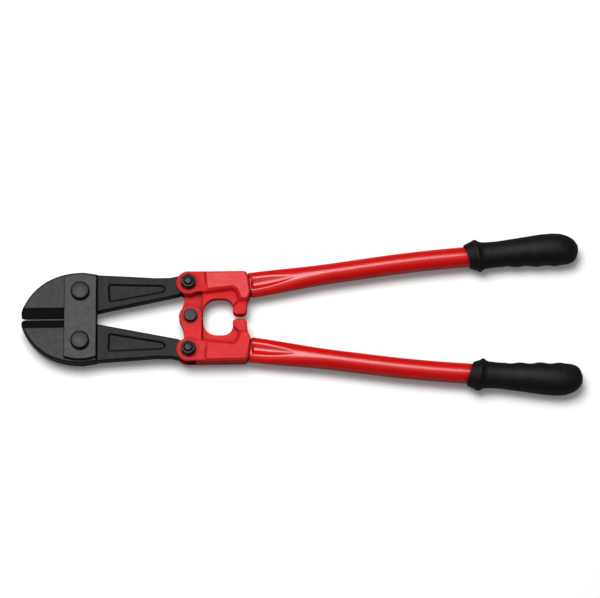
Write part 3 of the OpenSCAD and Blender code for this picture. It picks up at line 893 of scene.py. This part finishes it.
def rounded_head(radius, low, high, edge):
    """Rows of a round bolt head with a rounded top edge."""
    rows = [(low, radius - 0.25), (low + 0.25, radius)]
    for a in np.radians((0, 15, 30, 45, 60, 75, 90)):
        rows.append((high - edge + edge * math.sin(a), radius - edge + edge * math.cos(a)))
    return rows + [(high, (radius - edge) * 0.5)]


WASHER_H = 1.8
NUT_H = 5
NUT_FLATS = 14.3           # across flats
CLIP_NUT_FLATS = 19
CLIP_HEAD_R = 10.25
CLIP_HEAD_H = 5.9
CENTRE_HEAD_R = 7.1


def make_fasteners():
    for side, sign in (("upper", 1), ("lower", -1)):
        centre = (CLIP_BOLT.x, sign * CLIP_BOLT.y)
        base = CLIP_HIGH.z
        rows = [(FLOOR_Z + 0.05, CLIP_BOLT_R - 0.8), (FLOOR_Z + 0.85, CLIP_BOLT_R),
                (base, CLIP_BOLT_R), (base, CLIP_HEAD_R - 0.35), (base + 0.35, CLIP_HEAD_R)]
        rows += [(z, r) for r, z in curve(
            (CLIP_HEAD_R, base + 3.4), (CLIP_HEAD_R, base + 4.9), (9.2, base + 5.2),
            (7.4, base + 5.4), 8)]
        rows += [(base + 5.72, 5), (base + 5.86, 2.4), (base + CLIP_HEAD_H, 0.5)]
        points, faces = turned_rod(centre, rows)
        make_piece(side + "_clip_bolt_domed", points, faces, "clips", [side + "_clip_bolt"],
                   BOLT_STEEL, sharp=50)
        points, faces = at(centre, hexagonal(CLIP_NUT_FLATS, FLOOR_Z, CLIP_LOW_BACK, CLIP_BOLT_R + 0.02))
        make_piece(side + "_clip_nut_hex", points, faces, "clips", [side + "_clip_nut"],
                   BOLT_STEEL, sharp=30)

        centre = (JAW_BOLT.x, sign * JAW_BOLT.y)
        body = side + "_handle"
        rows = [(-EAR_HALF - 1, BOLT_R)] + thread_rows(BOLT_R, EAR_HALF + 1, JAW_STUD_Z)
        points, faces = together(
            turned_rod(centre, rows), at(centre, hexagonal(NUT_FLATS, -EAR_HALF - 5.2, -EAR_HALF)))
        make_piece(side + "_jaw_bolt_threaded", points, faces, body, [side + "_jaw_bolt"],
                   BOLT_STEEL, sharp=30)
        points, faces = at(centre, hexagonal(
            NUT_FLATS, EAR_HALF + WASHER_H, EAR_HALF + WASHER_H + NUT_H, BOLT_R + 0.02))
        make_piece(side + "_jaw_nut_hex", points, faces, body, [side + "_jaw_nut"],
                   BOLT_STEEL, sharp=30)
        points, faces = at(centre, washer(EAR_HALF, WASHER_H, 40))
        make_piece(side + "_jaw_washer_split", points, faces, body, [side + "_jaw_washer"],
                   BOLT_STEEL, sharp=30)

    bottom = -LUG_HALF - WASHER_H - NUT_H
    rows = [(bottom - 1, BOLT_R - 0.8), (bottom - 0.2, BOLT_R), (LUG_HALF, BOLT_R)]
    points, faces = turned_rod((0, 0), rows + rounded_head(CENTRE_HEAD_R, LUG_HALF, LUG_HALF + 5, 1.0))
    make_piece("centre_bolt_round", points, faces, "lower_handle", ["centre_bolt"],
               BOLT_STEEL, sharp=50)
    points, faces = hexagonal(NUT_FLATS, bottom, bottom + NUT_H, BOLT_R + 0.02)
    make_piece("centre_nut_hex", points, faces, "lower_handle", ["centre_nut"],
               BOLT_STEEL, sharp=30)
    points, faces = washer(-LUG_HALF - WASHER_H, WASHER_H, 0)
    make_piece("centre_washer_split", points, faces, "lower_handle", ["centre_washer"],
               BOLT_STEEL, sharp=30)


# ------------------------------------------------------------------ floor, light and camera


def make_floor():
    half = 6.0
    mesh = bpy.data.meshes.new("floor")
    mesh.from_pydata(
        [(-half, -half, 0), (half, -half, 0), (half, half, 0), (-half, half, 0)], [],
        [(0, 1, 2, 3)])
    floor = bpy.data.objects.new("floor", mesh)
    bpy.context.scene.collection.objects.link(floor)
    material = bpy.data.materials.new("white_floor")
    material.use_nodes = True
    tree = material.node_tree
    tree.nodes.clear()
    seen = tree.nodes.new("ShaderNodeLightPath").outputs["Is Camera Ray"]
    diffuse = tree.nodes.new("ShaderNodeBsdfDiffuse")
    glow = tree.nodes.new("ShaderNodeEmission")
    for target, unseen_value, seen_value in (
            (diffuse.inputs["Color"], FLOOR_TONE, FLOOR_SEEN),
            (glow.inputs["Strength"], 0, FLOOR_GLOW)):
        choice = tree.nodes.new("ShaderNodeMapRange")
        choice.inputs["To Min"].default_value = unseen_value
        choice.inputs["To Max"].default_value = seen_value
        tree.links.new(seen, choice.inputs["Value"])
        tree.links.new(choice.outputs["Result"], target)
    both = tree.nodes.new("ShaderNodeAddShader")
    output = tree.nodes.new("ShaderNodeOutputMaterial")
    tree.links.new(diffuse.outputs[0], both.inputs[0])
    tree.links.new(glow.outputs[0], both.inputs[1])
    tree.links.new(both.outputs[0], output.inputs["Surface"])
    mesh.materials.append(material)


def soft_light(name, towards, distance, width, height, power):
    """An area light that looks at the tool from the direction given."""
    lamp = bpy.data.lights.new(name, "AREA")
    lamp.shape = "RECTANGLE"
    lamp.size, lamp.size_y = width, height
    lamp.energy = power
    item = bpy.data.objects.new(name, lamp)
    bpy.context.scene.collection.objects.link(item)
    direction = Vector(towards).normalized()
    item.location = direction * distance
    item.rotation_euler = direction.to_track_quat("Z", "Y").to_euler()


def make_world():
    world = bpy.data.worlds.new("studio")
    bpy.context.scene.world = world
    world.use_nodes = True
    world.node_tree.nodes["Background"].inputs["Color"].default_value = (1, 1, 1, 1)
    world.node_tree.nodes["Background"].inputs["Strength"].default_value = WORLD_FILL


def make_camera():
    """The camera of the photo: high in front of the tool, far off, with a long lens."""
    elevation = math.radians(70.75)
    roll = 0.0115
    distance = 4.0
    target = tool_origin + Vector((119.5, 20.8, 0)) * MM
    right = Vector((1, 0, 0))
    up = Vector((0, math.sin(elevation), math.cos(elevation)))
    back = Vector((0, -math.cos(elevation), math.sin(elevation)))
    right, up = (right - roll * up).normalized(), (up + roll * right).normalized()
    lens = bpy.data.cameras.new("camera")
    lens.sensor_width = 36
    lens.lens = 219.65
    lens.clip_end = 50
    camera = bpy.data.objects.new("camera", lens)
    bpy.context.scene.collection.objects.link(camera)
    axes = Matrix((right, up, back)).transposed()
    camera.matrix_world = Matrix.Translation(target + back * distance) @ axes.to_4x4()
    bpy.context.scene.camera = camera


make_jaws()
make_clips()
make_heads()
make_tangs()
make_tubes()
make_grips()
make_fasteners()
make_floor()
make_world()
soft_light("key", (-0.16, 0.222, 1), 3, 1.6, 1.6, 78)
soft_light("fill", (0, 0, 1), 3, 4.4, 4, 20)
make_camera()
bpy.context.scene.view_settings.view_transform = "Standard"
